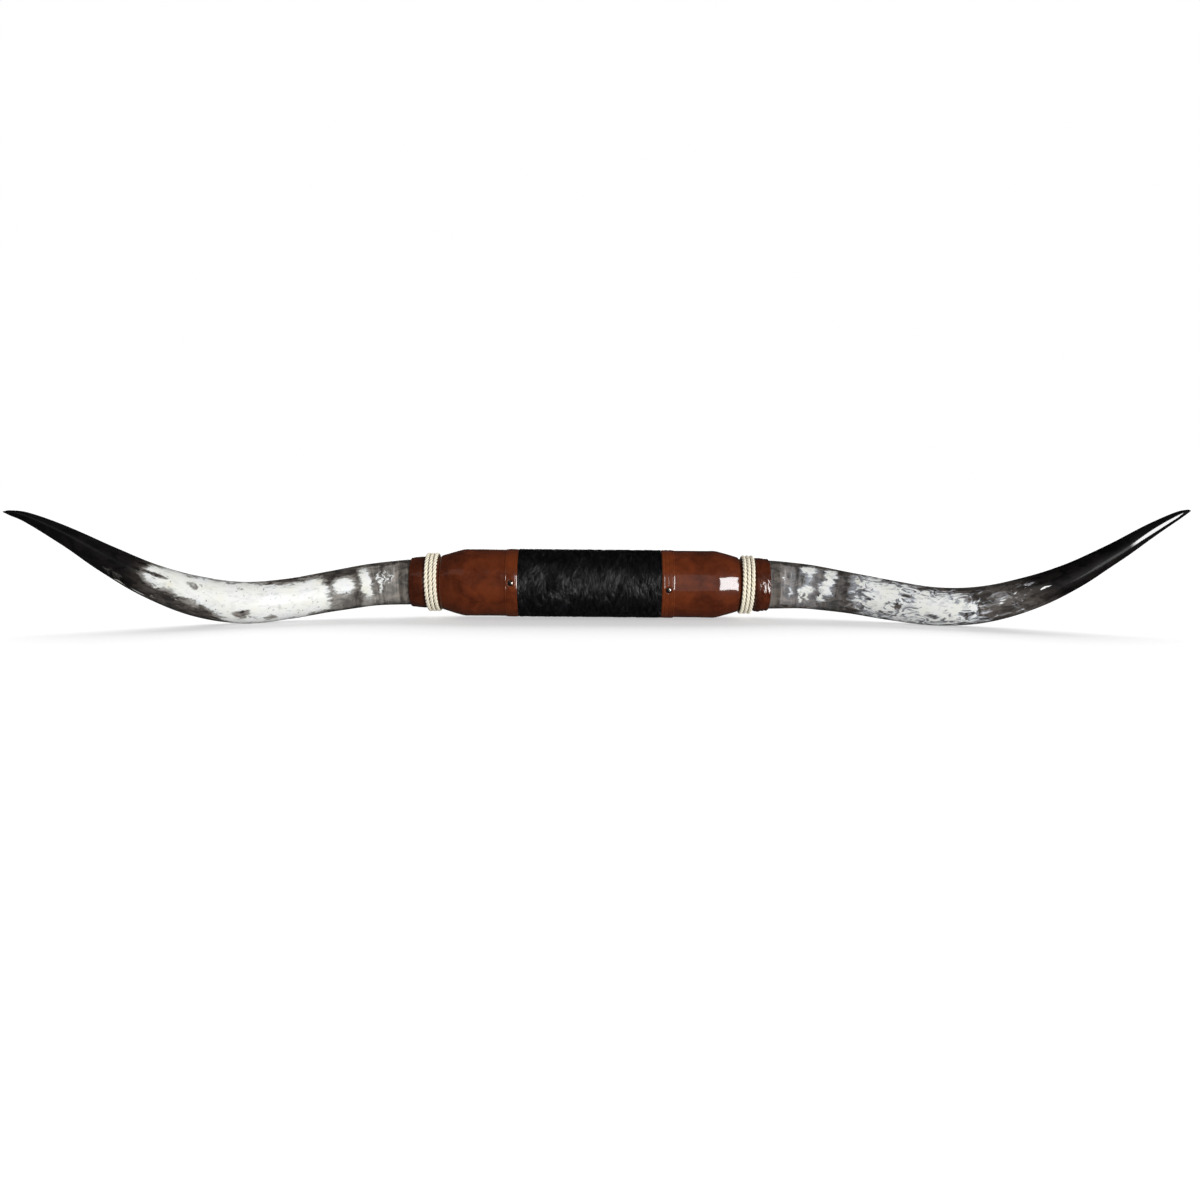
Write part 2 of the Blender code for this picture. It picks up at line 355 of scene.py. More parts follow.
def make_scratches():
    group, given, wanted = new_group("Scratches", ["Amount"], Place=(0, 0, 0), Stretch=(30, 2500, 2500))
    thin = fade(streaks(given["Place"], given["Stretch"], 2.0, 0.6), 0.60, 0.72)
    gaps = fade(cloud(given["Place"], 55.0, 1.0), 0.4, 0.65)
    wire(wanted, {"Amount": scaled(thin, gaps)})
    return group


BLOTCHES = make_blotches()
SCRATCHES = make_scratches()
print("groups", BLOTCHES.name, SCRATCHES.name)

# %% Grain


def make_grain():
    """Pebbles with a crease around each. Height is 1 on a pebble, and Crease is 1 in a crease."""
    group, given, wanted = new_group("Grain", ["Height", "Crease"], Place=(0, 0, 0), Size=0.001)
    scale = work_out("DIVIDE", 1.0, given["Size"])
    bent = cloud(given["Place"], scaled(scale, 0.6), 2.0, result="Color")
    shifted = vector_math("MULTIPLY_ADD", bent, (0.0012, 0.0012, 0.0012), given["Place"])
    cells = {"Vector": shifted, "Scale": scale}
    pebbles = add_node("ShaderNodeTexVoronoi", cells, feature="DISTANCE_TO_EDGE")["Distance"]
    crease = work_out("SUBTRACT", 1.0, fade(pebbles, 0.0, 0.1))
    wire(wanted, {"Height": fade(pebbles, 0.02, 0.32), "Crease": crease})
    return group


GRAIN = make_grain()
print("group", GRAIN.name)

# %% [markdown]
# ## Helpers for modelling
#
# Nearly every piece here is round, so one helper draws a tube the way a hand would: it adds a circle, then
# extrudes and resizes it ring by ring. Another closes such a tube to a shell and presses it here and there, as
# leather gives.

# %% Drawing round things


def let_go():
    if bpy.context.mode != "OBJECT":
        bpy.ops.object.mode_set(mode="OBJECT")
    bpy.ops.object.select_all(action="DESELECT")


def take(pieces):
    """Selects these pieces and nothing else, and makes the first the active one."""
    let_go()
    for piece in pieces:
        piece.select_set(True)
    bpy.context.view_layer.objects.active = pieces[0]


def pick(piece, wanted):
    """Selects the corners for whose place wanted is true, and nothing else."""
    bpy.ops.object.mode_set(mode="EDIT")
    bpy.ops.mesh.select_mode(type="VERT")
    bpy.ops.mesh.select_all(action="DESELECT")
    bpy.ops.object.mode_set(mode="OBJECT")
    for corner in piece.data.vertices:
        corner.select = wanted(corner.co)
    bpy.ops.object.mode_set(mode="EDIT")


def face_out(piece):
    bpy.ops.object.mode_set(mode="EDIT")
    bpy.ops.mesh.select_all(action="SELECT")
    bpy.ops.mesh.remove_doubles(threshold=1e-6)
    bpy.ops.mesh.normals_make_consistent(inside=False)
    bpy.ops.object.mode_set(mode="OBJECT")


def draw_tube(name, rings, sides, oval=1.0):
    """A circle at the first ring, extruded and resized to the others. A ring is a distance along X and a radius."""
    let_go()
    along, radius = rings[0]
    bpy.ops.mesh.primitive_circle_add(
        vertices=sides, radius=radius, location=(along, 0.0, 0.0), rotation=(0.0, math.pi / 2, 0.0)
    )
    tube = bpy.context.object
    tube.name = name
    bpy.ops.object.transform_apply(location=True, rotation=True, scale=True)
    bpy.ops.object.mode_set(mode="EDIT")
    bpy.ops.mesh.select_all(action="SELECT")
    bpy.ops.transform.resize(value=(1.0, oval, 1.0), center_override=(along, 0.0, 0.0))
    for next_along, next_radius in rings[1:]:
        bpy.ops.mesh.extrude_region_move(TRANSFORM_OT_translate={"value": (next_along - along, 0.0, 0.0)})
        growth = next_radius / radius
        bpy.ops.transform.resize(value=(1.0, growth, growth), center_override=(next_along, 0.0, 0.0))
        along, radius = next_along, next_radius
    return tube


print("drawing helpers ready")

# %% Pressing and placing


def corner_places(piece):
    places = np.empty(len(piece.data.vertices) * 3)
    piece.data.vertices.foreach_get("co", places)
    return places.reshape(-1, 3)


def keep_on_corners(mesh, name, values):
    """Stores a number or three for each corner of a mesh, for a material to read."""
    kind, field = ("FLOAT", "value") if values.ndim == 1 else ("FLOAT_VECTOR", "vector")
    mesh.attributes.new(name, kind, "POINT").data.foreach_set(field, values.ravel())


def press(piece, move):
    """Moves each corner in or out. move takes arrays of distances along, turns from the front and radii."""
    places = corner_places(piece)
    along, radius = places[:, 0], np.hypot(places[:, 1], places[:, 2])
    turn = np.arctan2(places[:, 2], -places[:, 1])
    new = move(along, turn, radius)
    places[:, 1] *= new / radius
    places[:, 2] *= new / radius
    piece.data.vertices.foreach_set("co", places.ravel())
    piece.data.update()


def model_shell(name, side, outline, sides, move):
    """A closed shell of revolution, pressed afterwards. Its last ring comes back to the first and is merged."""
    shell = draw_tube(name, [(side * along, radius) for along, radius in [*outline, outline[0]]], sides)
    face_out(shell)
    press(shell, move)
    return shell


def waves(along, turn, radius, size, seed):
    """Soft random waves of this size over a round surface, from -1 to 1."""
    y, z = -radius * np.cos(turn), radius * np.sin(turn)
    shift = Vector((seed * 3.1, seed * 7.7, seed * 1.3))
    return np.array([noise.noise(Vector(p) / size + shift) for p in zip(along, y, z)])


def finish_piece(piece, material, node=None, smooth_to=35.0):
    """Puts a piece that was modelled around the core's axis in its place, with its finish, for its node."""
    take([piece])
    piece.matrix_world = CORE_PLACE @ piece.matrix_world
    bpy.ops.object.transform_apply(location=True, rotation=True, scale=True)
    bpy.ops.object.shade_smooth_by_angle(angle=math.radians(smooth_to))
    piece.data.materials.clear()
    piece.data.materials.append(material)
    piece.select_set(False)
    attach(piece, "root")
    if node:
        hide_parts(node)


def count(piece):
    return sum(len(face.vertices) - 2 for face in piece.data.polygons)


print("placing helpers ready")

# %% [markdown]
# ## The shape of the horns
#
# A horn leaves the leather straight, dips and sweeps forward, then rises to its tip. It could be extruded ring
# by ring along that bend, but then no ring would know how far along the horn it is. It is drawn straight
# instead, with a ring at each distance along the bend, and a curve modifier bends it. Each corner keeps its
# place on the straight horn as an attribute, and the pattern of the horn reads that.

# %% Stations of the horns: out from the middle, forward, up, radius
LEFT_HORN = (
    (0.2135, 0.000, 0.0000, 0.0346),
    (0.2450, 0.000, 0.0000, 0.0350),
    (0.2800, 0.001, -0.0003, 0.0355),
    (0.3350, 0.010, -0.0038, 0.0331),
    (0.3950, 0.031, -0.0127, 0.0315),
    (0.4550, 0.057, -0.0221, 0.0307),
    (0.5150, 0.084, -0.0259, 0.0311),
    (0.5750, 0.105, -0.0152, 0.0297),
    (0.6350, 0.120, 0.0073, 0.0255),
    (0.6950, 0.129, 0.0399, 0.0202),
    (0.7550, 0.133, 0.0748, 0.0136),
    (0.8050, 0.134, 0.0990, 0.0077),
    (0.8300, 0.134, 0.1060, 0.0042),
    (0.8410, 0.134, 0.1076, 0.0010),
)
RIGHT_HORN = (
    (0.2135, 0.000, 0.0000, 0.0360),
    (0.2450, 0.000, 0.0000, 0.0366),
    (0.2800, 0.001, 0.0004, 0.0378),
    (0.3350, 0.010, -0.0012, 0.0347),
    (0.3950, 0.031, -0.0080, 0.0317),
    (0.4550, 0.057, -0.0164, 0.0302),
    (0.5150, 0.084, -0.0223, 0.0285),
    (0.5750, 0.105, -0.0176, 0.0270),
    (0.6350, 0.120, -0.0004, 0.0247),
    (0.6950, 0.129, 0.0266, 0.0198),
    (0.7550, 0.133, 0.0622, 0.0145),
    (0.8050, 0.134, 0.0947, 0.0102),
    (0.8400, 0.134, 0.1151, 0.0066),
    (0.8560, 0.134, 0.1226, 0.0031),
    (0.8610, 0.134, 0.1238, 0.0010),
)
HORN_OVAL = 0.95
print("stations", len(LEFT_HORN), "and", len(RIGHT_HORN))

# %% A smooth run through the stations
HORN_STEPS = 9
HORN_SIDES = 96


def smooth_through(stations, steps):
    """A Catmull-Rom curve through the stations, with this many steps from each to the next."""
    rows = [Vector(station) for station in stations]
    rows = [2 * rows[0] - rows[1], *rows, 2 * rows[-1] - rows[-2]]
    points = []
    for before, start, end, after in zip(rows, rows[1:], rows[2:], rows[3:]):
        for step in range(steps):
            t = step / steps
            bend = (2 * before - 5 * start + 4 * end - after) * t**2
            swing = (3 * start - 3 * end + after - before) * t**3
            points.append(start + 0.5 * ((end - before) * t + bend + swing))
    return [*points, rows[-2]]


def horn_path(stations, side):
    """The middle line of a horn, and for each of its points the way along it, the way out and the radius."""
    rows = smooth_through(stations, HORN_STEPS)
    line = [Vector((side * out, -forward, up)) for out, forward, up, _ in rows]
    steps = [0.0] + [(b - a).length for a, b in zip(line, line[1:])]
    return line, np.cumsum(steps), [row[0] for row in rows], [row[3] for row in rows]


print("way along the left horn", round(horn_path(LEFT_HORN, LEFT)[1][-1], 3), "m")

# %% Bending a straight horn


def add_curve(name, places, **settings):
    data = bpy.data.curves.new(name, "CURVE")
    data.dimensions = "3D"
    for key, value in settings.items():
        setattr(data, key, value)
    spline = data.splines.new("POLY")
    spline.points.add(len(places) - 1)
    for point, place in zip(spline.points, places):
        point.co = (*place, 1.0)
    curve = bpy.data.objects.new(name, data)
    bpy.context.scene.collection.objects.link(curve)
    return curve


def keep_straight_places(piece, side, along, out):
    """Stores for each corner its way out from the middle, and where on the section it is, front towards -Y."""
    x, y, z = corner_places(piece).T
    straight = np.column_stack([np.interp(x, along, out), side * y / HORN_OVAL, z])
    keep_on_corners(piece.data, "straight", straight)


def apply_modifier(piece, name, kind, **settings):
    modifier = piece.modifiers.new(name, kind)
    for key, value in settings.items():
        setattr(modifier, key, value)
    take([piece])
    bpy.ops.object.modifier_apply(modifier=name)


print("bending helpers ready")

# %% Modelling a horn
TIP_ROUNDING = ((0.0004, 0.8), (0.0007, 0.45))
FLAT_OUT = (0.777, 0.790, 0.806, 0.822, 0.842, 0.852)
FLAT_HALF_TURN = (0.0, 9.0, 14.0, 12.5, 8.0, 0.0)
FLAT_MIDDLE = math.radians(-2.0)


def flatten_tip(along, out):
    """The right tip was scraped a little flat in front before it was polished."""
    def move(way, turn, radius):
        half = np.radians(np.interp(np.interp(way, along, out), FLAT_OUT, FLAT_HALF_TURN))
        from_middle = np.minimum(np.abs(turn - FLAT_MIDDLE), half)
        return radius * np.cos(half) / np.cos(from_middle)

    return move


def model_horn(name, stations, side):
    line, along, out, radii = horn_path(stations, side)
    rings = list(zip(along, radii))
    rings += [(along[-1] + step, radii[-1] * share) for step, share in TIP_ROUNDING]
    horn = draw_tube(name, rings, HORN_SIDES, HORN_OVAL)
    bpy.ops.mesh.extrude_region_move(TRANSFORM_OT_translate={"value": (0.00015, 0.0, 0.0)})
    bpy.ops.mesh.merge(type="CENTER")
    pick(horn, lambda place: place.x < 1e-6)
    bpy.ops.mesh.edge_face_add()
    face_out(horn)
    if side == RIGHT:
        press(horn, flatten_tip(along, out))
    keep_straight_places(horn, side, along, out)
    swell = bpy.data.textures.new(f"{name} swell", "CLOUDS")
    swell.noise_scale = 0.08
    swell.noise_depth = 1
    apply_modifier(horn, "Swell", "DISPLACE", texture=swell, texture_coords="LOCAL", strength=0.0011, mid_level=0.5)
    bend = add_curve(f"{name}_bend", line, twist_mode="Z_UP")
    apply_modifier(horn, "Bend", "CURVE", object=bend, deform_axis="POS_X")
    bpy.data.objects.remove(bend)
    return horn


left_horn = model_horn("left_horn", LEFT_HORN, LEFT)
right_horn = model_horn("right_horn", RIGHT_HORN, RIGHT)
print("horn triangles", count(left_horn), count(right_horn))

# %% [markdown]
# ## The pattern in the horns
#
# Polished horn is a see-through grey-brown near the head, turns milky white in the middle, and is black towards
# the tip. The milk lies in torn flames, patches and flecks. A picture of it could be painted on, but a pattern
# that follows from a few chosen places stays sharp at any distance. One number, milk, is worked out for each
# point: a level along the horn, plus the patches, plus noise that tears their edges, less a painted shade along
# the top and bottom edges. One patch of the right horn is a painted highlight, a white spot where a light is
# mirrored in the black. Milk then picks the colour, from dark through a blue-grey veil to white.

# %% A patch of milk, and the field of all of them
VIEW_LIFT = math.radians(6.0)


def make_patch():
    """1 in the middle of an oval patch, 0 outside it. Places have a unit circle for their section."""
    group, given, wanted = new_group("Patch", ["Amount"], Place=(0, 0, 0), Centre=(0, 0, 0), Size=(1, 1, 1))
    away = vector_math("SUBTRACT", given["Place"], given["Centre"])
    share = vector_math("DIVIDE", away, given["Size"])
    far = vector_math("LENGTH", share, result=1)
    wire(wanted, {"Amount": fade(far, 1.35, 0.35)})
    return group


PATCH = make_patch()


def patch_centre(out, height):
    """height is how far up the horn's front a patch is seen, from -1 at its lower edge to 1 at its upper edge."""
    turn = VIEW_LIFT + math.asin(max(-1.0, min(1.0, height)))
    return (out, -math.cos(turn), math.sin(turn))


def add_patches(level, place, patches):
    for out, height, length, width, weight in patches:
        amount = use_group(PATCH, Place=place, Centre=patch_centre(out, height), Size=(length, width, width))
        level = scaled(amount["Amount"], weight, level)
    return level


print("patch group", PATCH.name)

# %% Levels, tones and patches of each horn
# A level is a way out from the core's middle and how milky the horn is there. A patch has its way out, its
# height on the front, its half length, its half width, and how much milk it adds.
LEFT_LEVELS = (
    (0.270, -0.95), (0.336, -0.85), (0.343, -0.45), (0.357, -0.40), (0.362, -0.95), (0.402, -0.55),
    (0.412, 0.85), (0.630, 0.90), (0.642, 0.50), (0.651, -1.0), (0.663, -2.0),
)
LEFT_PATCHES = (
    (0.628, -0.62, 0.034, 0.74, -2.1),
    (0.592, -0.78, 0.034, 0.76, -2.1),
    (0.560, -0.92, 0.024, 0.66, -2.0),
    (0.633, 0.44, 0.016, 0.17, -1.9),
    (0.584, 0.46, 0.010, 0.20, -1.2),
    (0.570, 0.52, 0.004, 0.08, -1.3),
    (0.522, 0.64, 0.004, 0.10, -1.4),
    (0.519, -0.57, 0.013, 0.30, -1.8),
    (0.484, -0.78, 0.010, 0.20, -1.5),
    (0.420, -0.92, 0.018, 0.24, -1.6),
    (0.392, 0.97, 0.032, 0.95, -1.5),
    (0.455, 0.88, 0.040, 0.42, -1.5),
    (0.382, 0.22, 0.017, 0.46, 2.1),
    (0.356, 0.02, 0.003, 0.12, 1.2),
    (0.349, 0.12, 0.009, 0.75, 1.7),
    (0.327, 0.10, 0.003, 0.55, 1.5),
    (0.319, 0.25, 0.002, 0.40, 1.4),
    (0.310, 0.20, 0.002, 0.25, 1.2),
    (0.645, -0.84, 0.012, 0.10, 2.9),
    (0.668, -0.86, 0.007, 0.08, 3.4),
    (0.672, -0.55, 0.030, 0.45, 0.9),
)
RIGHT_LEVELS = (
    (0.270, -1.00), (0.325, -0.85), (0.345, -0.65), (0.378, -0.90), (0.400, -1.20), (0.410, -0.15),
    (0.440, 0.30), (0.500, 0.35), (0.560, -0.30), (0.580, -1.35), (0.630, -1.45), (0.655, -1.7), (0.675, -2.0),
)
RIGHT_PATCHES_AND_HIGHLIGHT = (
    (0.339, 0.74, 0.011, 0.34, 1.6),
    (0.340, -0.16, 0.012, 0.22, 1.8),
    (0.341, 0.30, 0.007, 0.34, 0.75),
    (0.330, -0.50, 0.004, 0.32, 1.7),
    (0.342, -0.48, 0.003, 0.28, 1.6),
    (0.314, -0.30, 0.003, 0.30, 0.9),
    (0.303, 0.28, 0.003, 0.10, 1.6),
    (0.373, 0.69, 0.009, 0.38, 2.0),
    (0.369, 0.43, 0.003, 0.11, -1.8),
    (0.370, 0.00, 0.012, 0.34, 2.2),
    (0.372, 0.36, 0.007, 0.30, 0.95),
    (0.364, -0.48, 0.005, 0.26, 1.8),
    (0.452, 0.27, 0.021, 0.40, 1.3),
    (0.443, -0.35, 0.021, 0.22, 1.3),
    (0.462, -0.68, 0.015, 0.09, -1.8),
    (0.470, -0.25, 0.004, 0.22, -1.8),
    (0.479, 0.49, 0.011, 0.30, -0.5),
    (0.503, 0.08, 0.011, 0.55, 1.2),
    (0.530, -0.03, 0.024, 0.46, 1.5),
    (0.526, 0.08, 0.003, 0.10, -0.8),
    (0.534, -0.16, 0.003, 0.09, -2.2),
    (0.562, 0.00, 0.015, 0.27, 1.7),
    (0.533, -0.66, 0.003, 0.24, 1.7),
    (0.544, -0.70, 0.003, 0.24, 1.8),
    (0.555, -0.66, 0.003, 0.20, 1.6),
    (0.520, 0.88, 0.065, 0.32, -0.7),
    (0.603, 0.28, 0.013, 0.36, 0.8),
    (0.605, -0.02, 0.003, 0.09, 1.8),
    (0.621, 0.22, 0.003, 0.08, 1.8),
    (0.640, 0.55, 0.006, 0.10, 1.6),
    (0.632, -0.95, 0.004, 0.14, 2.2),
    # A painted highlight: this last patch is a small white spot where a light is mirrored in the black horn.
    (0.659, 0.05, 0.007, 0.09, 3.6),
)
print("patches", len(LEFT_PATCHES), "and", len(RIGHT_PATCHES_AND_HIGHLIGHT))

# %% The tones under the milk
PATTERN_START, PATTERN_END = 0.20, 0.90
HORN_DARKS = (
    (0.280, (0.085, 0.075, 0.066)), (0.380, (0.060, 0.054, 0.049)), (0.500, (0.058, 0.050, 0.045)),
    (0.610, (0.062, 0.056, 0.052)), (0.640, (0.036, 0.031, 0.028)), (0.666, (0.006, 0.005, 0.005)),
    (0.860, (0.002, 0.002, 0.002)),
)
RING_LINE = (0.42, 0.40, 0.38)


def along_horn(out, stops):
    """The stops hold greys or colours at ways out from the middle of the core."""
    ends = {"Value": out, "From Min": PATTERN_START, "From Max": PATTERN_END}
    share = add_node("ShaderNodeMapRange", ends)[0]
    whole = PATTERN_END - PATTERN_START
    return ramp(share, [((stop - PATTERN_START) / whole, colour) for stop, colour in stops])


def add_noise(level, noise_value, strength):
    return scaled(work_out("SUBTRACT", noise_value, 0.5), strength, level)


def horn_places(straight):
    """The way out, the place on a horn whose section is a unit circle, and the same place torn by noise."""
    parts = parts_of(straight)
    section = add_node("ShaderNodeCombineXYZ", {1: parts[1], 2: parts[2]})[0]
    circle = vector_math("NORMALIZE", section)
    place = vector_math("ADD", circle, add_node("ShaderNodeCombineXYZ", {0: parts[0]})[0])
    tear = streaks(straight, (60.0, 150.0, 150.0), 5.0, 0.58, 0.8, result="Color")
    torn = vector_math("SUBTRACT", tear, (0.5, 0.5, 0.5))
    return parts[0], place, vector_math("MULTIPLY_ADD", torn, (0.026, 0.60, 0.60), place)


def dark_tone(straight, place, torn_place, slant):
    """Horn without milk: brown-grey near the head and black towards the tip, with smoke in it."""
    slanted = scaled(parts_of(place)[2], slant, parts_of(torn_place)[0])
    dark = along_horn(slanted, HORN_DARKS)
    smoke = streaks(straight, (45.0, 75.0, 75.0), 4.0, 0.6, 1.0)
    deep, pale = stretch(dark, (0.55, 0.55, 0.55)), stretch(dark, (1.8, 1.75, 1.7))
    return blend(fade(smoke, 0.36, 0.66), deep, pale)


print("dark tones", len(HORN_DARKS))

# %% How milky each point is


def horn_milk(straight, place, torn_place, levels, patches, marbling, slant):
    """Below -1 for dark horn and above 0.2 for white."""
    torn = parts_of(torn_place)
    out = parts_of(place)[0]
    beyond_rings = fade(out, 0.385, 0.425)
    slanted = scaled(scaled(torn[2], beyond_rings), slant, torn[0])
    greys = [(way, ((level + 2.0) / 4.0,) * 3) for way, level in levels]
    level = scaled(along_horn(slanted, greys), 4.0, -2.0)
    level = add_patches(level, torn_place, patches)
    swirls = streaks(straight, (42.0, 75.0, 75.0), 3.0, 0.45, 3.0)
    calmer = fade(out, 0.57, 0.60, marbling, 0.5 * marbling)
    level = add_noise(level, swirls, scaled(beyond_rings, calmer))
    bands = streaks(straight, (100.0, 12.0, 12.0), 4.0, 0.60)
    level = add_noise(level, bands, fade(out, 0.43, 0.34, 0.0, 2.6))
    dark_flecks = fade(cloud(straight, 260.0, 2.0), 0.68, 0.73)
    level = scaled(dark_flecks, -1.4, level)
    shifted = vector_math("ADD", stretch(straight, (90.0, 210.0, 210.0)), (5.0, 0.0, 0.0))
    white_flecks = fade(cloud(shifted, 1.0, 4.0, 0.55, 0.8), 0.62, 0.72)
    white_flecks = scaled(white_flecks, fade(out, 0.655, 0.635))
    level = scaled(scaled(white_flecks, beyond_rings), 1.3, level)
    # Painted shade: the horn is made darker along its upper and lower edges.
    rim = fade(work_out("ABSOLUTE", torn[2]), 0.82, 1.06)
    return scaled(rim, -1.3, level)


def colour_of_milk(straight, milk, dark, veil, veiled):
    middle = blend(0.35, stretch(dark, (2.6, 2.6, 2.6)), veil)
    colour = blend(fade(milk, -1.3, -0.55), dark, middle)
    colour = blend(fade(milk, -0.50, -0.08), colour, veil)
    tint = cloud(straight, 30.0)
    white = ramp(tint, [(0.35, (0.90, 0.91, 0.91)), (0.60, (0.89, 0.89, 0.83)), (0.74, (0.84, 0.82, 0.70))])
    white = blend(fade(milk, 0.70, 0.25), white, stretch(white, (0.80, 0.82, 0.84)))
    thin = streaks(straight, (60.0, 110.0, 110.0), 4.0, 0.55, 1.0)
    white = blend(fade(thin, 0.50, 0.64, 0.0, veiled), white, veil)
    return blend(fade(milk, -0.06, 0.16), colour, white)


print("milk ready")

# %% The finish of a horn
POLISHED_TIP = 0.783


def ring_lines(straight, out):
    """Fine pale lines around the horn near the head, with gaps."""
    rings = fade(streaks(straight, (480.0, 18.0, 18.0), 2.0, 0.5, 0.3), 0.60, 0.70)
    patchy = fade(cloud(straight, 55.0, 2.0), 0.46, 0.60)
    return scaled(rings, scaled(fade(out, 0.37, 0.31), patchy))


def make_horn_finish(name, levels, patches, veil, veiled, marbling, slant, dull_weight, coat_roughness):
    """veiled is how much veil shows in the white, marbling how strong the swirls in the milk are, slant how far
    the pattern leans along the horn from one edge to the other, and dull_weight how glossy the black part is
    before its polished tip."""
    material, tree, shader = new_material(
        name, IOR=1.55, Specular_IOR_Level=0.05, Coat_IOR=1.65, Coat_Roughness=coat_roughness
    )
    straight = kept(tree, "straight")
    out, place, torn_place = horn_places(straight)
    milk = horn_milk(straight, place, torn_place, levels, patches, marbling, slant)
    lines = ring_lines(straight, out)
    dark = dark_tone(straight, place, torn_place, slant)
    dark = blend(scaled(lines, 0.55), dark, RING_LINE)
    scratch = use_group(SCRATCHES, Place=straight, Stretch=(40.0, 1500.0, 1500.0))["Amount"]
    haze = use_group(BLOTCHES, Place=straight, Size=0.03, Contrast=1.6)["Amount"]
    before_tip = fade(out, POLISHED_TIP, POLISHED_TIP - 0.012)
    dull = scaled(fade(out, 0.645, 0.675), before_tip)
    relief = scaled(lines, 0.4, scaled(scratch, -0.5))
    wire(shader, {
        "Base Color": colour_of_milk(straight, milk, dark, veil, veiled),
        "Roughness": scaled(haze, 0.10, 0.34),
        "Coat Weight": scaled(scratch, -0.05, scaled(dull, dull_weight - 1.0, 1.0)),
        "Normal": add_bump(relief, 0.00004, 0.3),
    })
    return material


left_finish = make_horn_finish(
    "polished horn left", LEFT_LEVELS, LEFT_PATCHES, veil=(0.38, 0.375, 0.355), veiled=0.16, marbling=2.9,
    slant=0.0, dull_weight=1.0, coat_roughness=0.20,
)
right_finish = make_horn_finish(
    "polished horn right", RIGHT_LEVELS, RIGHT_PATCHES_AND_HIGHLIGHT, veil=(0.31, 0.33, 0.37), veiled=0.38, marbling=6.4,
    slant=0.020, dull_weight=0.05, coat_roughness=0.05,
)
finish_piece(left_horn, left_finish, "horn_left")
finish_piece(right_horn, right_finish, "horn_right")
print("horns finished")

# %% [markdown]
# ## The leather sleeves
#
# Each sleeve is one piece of waxed leather: a tube over the core, a cone at its shoulder, and a neck that the
# rope pulls onto the horn. A sheet wrapped and sewn in cloth simulation would also give it, but wet leather
# that dries on a form keeps that form, so it is drawn as a turned shell and then pressed: a crease where the
# cone begins, pleats that run into the rope, folds in the neck, and puckers at the open end.

# %% The outline of a sleeve: along the axis, radius
FIT_GAP = 0.0003
HIDE_HALF_LENGTH = 0.1105
CORE_RADIUS = 0.0495
CORE_SHOULDER = 0.1925
CORE_END = 0.213
CORE_END_RADIUS = 0.0430
SLEEVE_RADIUS = 0.0521
SLEEVE_SHOULDER = 0.1955
SLEEVE_END = 0.278
ROPE_MIDDLE = 0.2435
GROOVE_RADIUS = 0.0396
GROOVE_HALF_WIDTH = 0.0112
LEFT_NECK = (0.0403, 0.0382)
RIGHT_NECK = (0.0418, 0.0398)
LEFT_HORN_RADII = (0.0350, 0.0355)
RIGHT_HORN_RADII = (0.0366, 0.0378)
RING_SPACING = 0.0013
SLEEVE_SIDES = 144


def even_rings(stations):
    """Rings at an even spacing on a smooth run through the stations."""
    rows = smooth_through([(along, radius, 0.0) for along, radius in stations], 12)
    way = np.cumsum([0.0] + [(b - a).length for a, b in zip(rows, rows[1:])])
    spots = np.linspace(0.0, way[-1], int(way[-1] / RING_SPACING) + 1)
    return [(np.interp(s, way, [r[0] for r in rows]), np.interp(s, way, [r[1] for r in rows])) for s in spots]


def sleeve_outline(neck, horn_radii):
    """neck is the radius past the rope and at the end, horn_radii that of the horn at the rope and at the end."""
    past_rope, at_end = neck
    groove_start, groove_end = ROPE_MIDDLE - GROOVE_HALF_WIDTH, ROPE_MIDDLE + GROOVE_HALF_WIDTH
    outer = even_rings([
        (HIDE_HALF_LENGTH, SLEEVE_RADIUS), (0.150, SLEEVE_RADIUS), (0.185, SLEEVE_RADIUS + 0.0001),
        (SLEEVE_SHOULDER, SLEEVE_RADIUS - 0.0002), (0.2090, 0.0487), (0.2215, 0.0450), (0.2297, 0.0422),
        (groove_start + 0.0005, GROOVE_RADIUS + 0.0003), (ROPE_MIDDLE, GROOVE_RADIUS),
        (groove_end - 0.0003, GROOVE_RADIUS + 0.0003), (groove_end + 0.0030, past_rope),
        (0.268, (past_rope + at_end) / 2 + 0.0003), (SLEEVE_END - 0.0008, at_end),
    ])
    inner = [
        (SLEEVE_END, at_end - 0.0008), (SLEEVE_END, horn_radii[1] + 0.0009), (ROPE_MIDDLE, horn_radii[0] + FIT_GAP),
        (CORE_END + 0.006, horn_radii[0] + FIT_GAP), (CORE_END + 0.002, CORE_END_RADIUS + FIT_GAP),
        (CORE_SHOULDER, CORE_RADIUS + FIT_GAP), (HIDE_HALF_LENGTH, CORE_RADIUS + FIT_GAP),
    ]
    return outer + inner


print("sleeve rings", len(sleeve_outline(LEFT_NECK, LEFT_HORN_RADII)))

# %% Pressing the leather
PLEATS = 22
GATHERS = ((0.2322, 0.0060, 0.00042), (0.2575, 0.0050, 0.00060))
NECK_FOLDS_START = 0.257
OUTSIDE_WAYS, OUTSIDE_RADII = (0.19, 0.215, 0.245, 0.278), (0.0505, 0.0445, 0.0385, 0.0372)


def bell(value, centre, width):
    return np.exp(-(((value - centre) / width) ** 2))


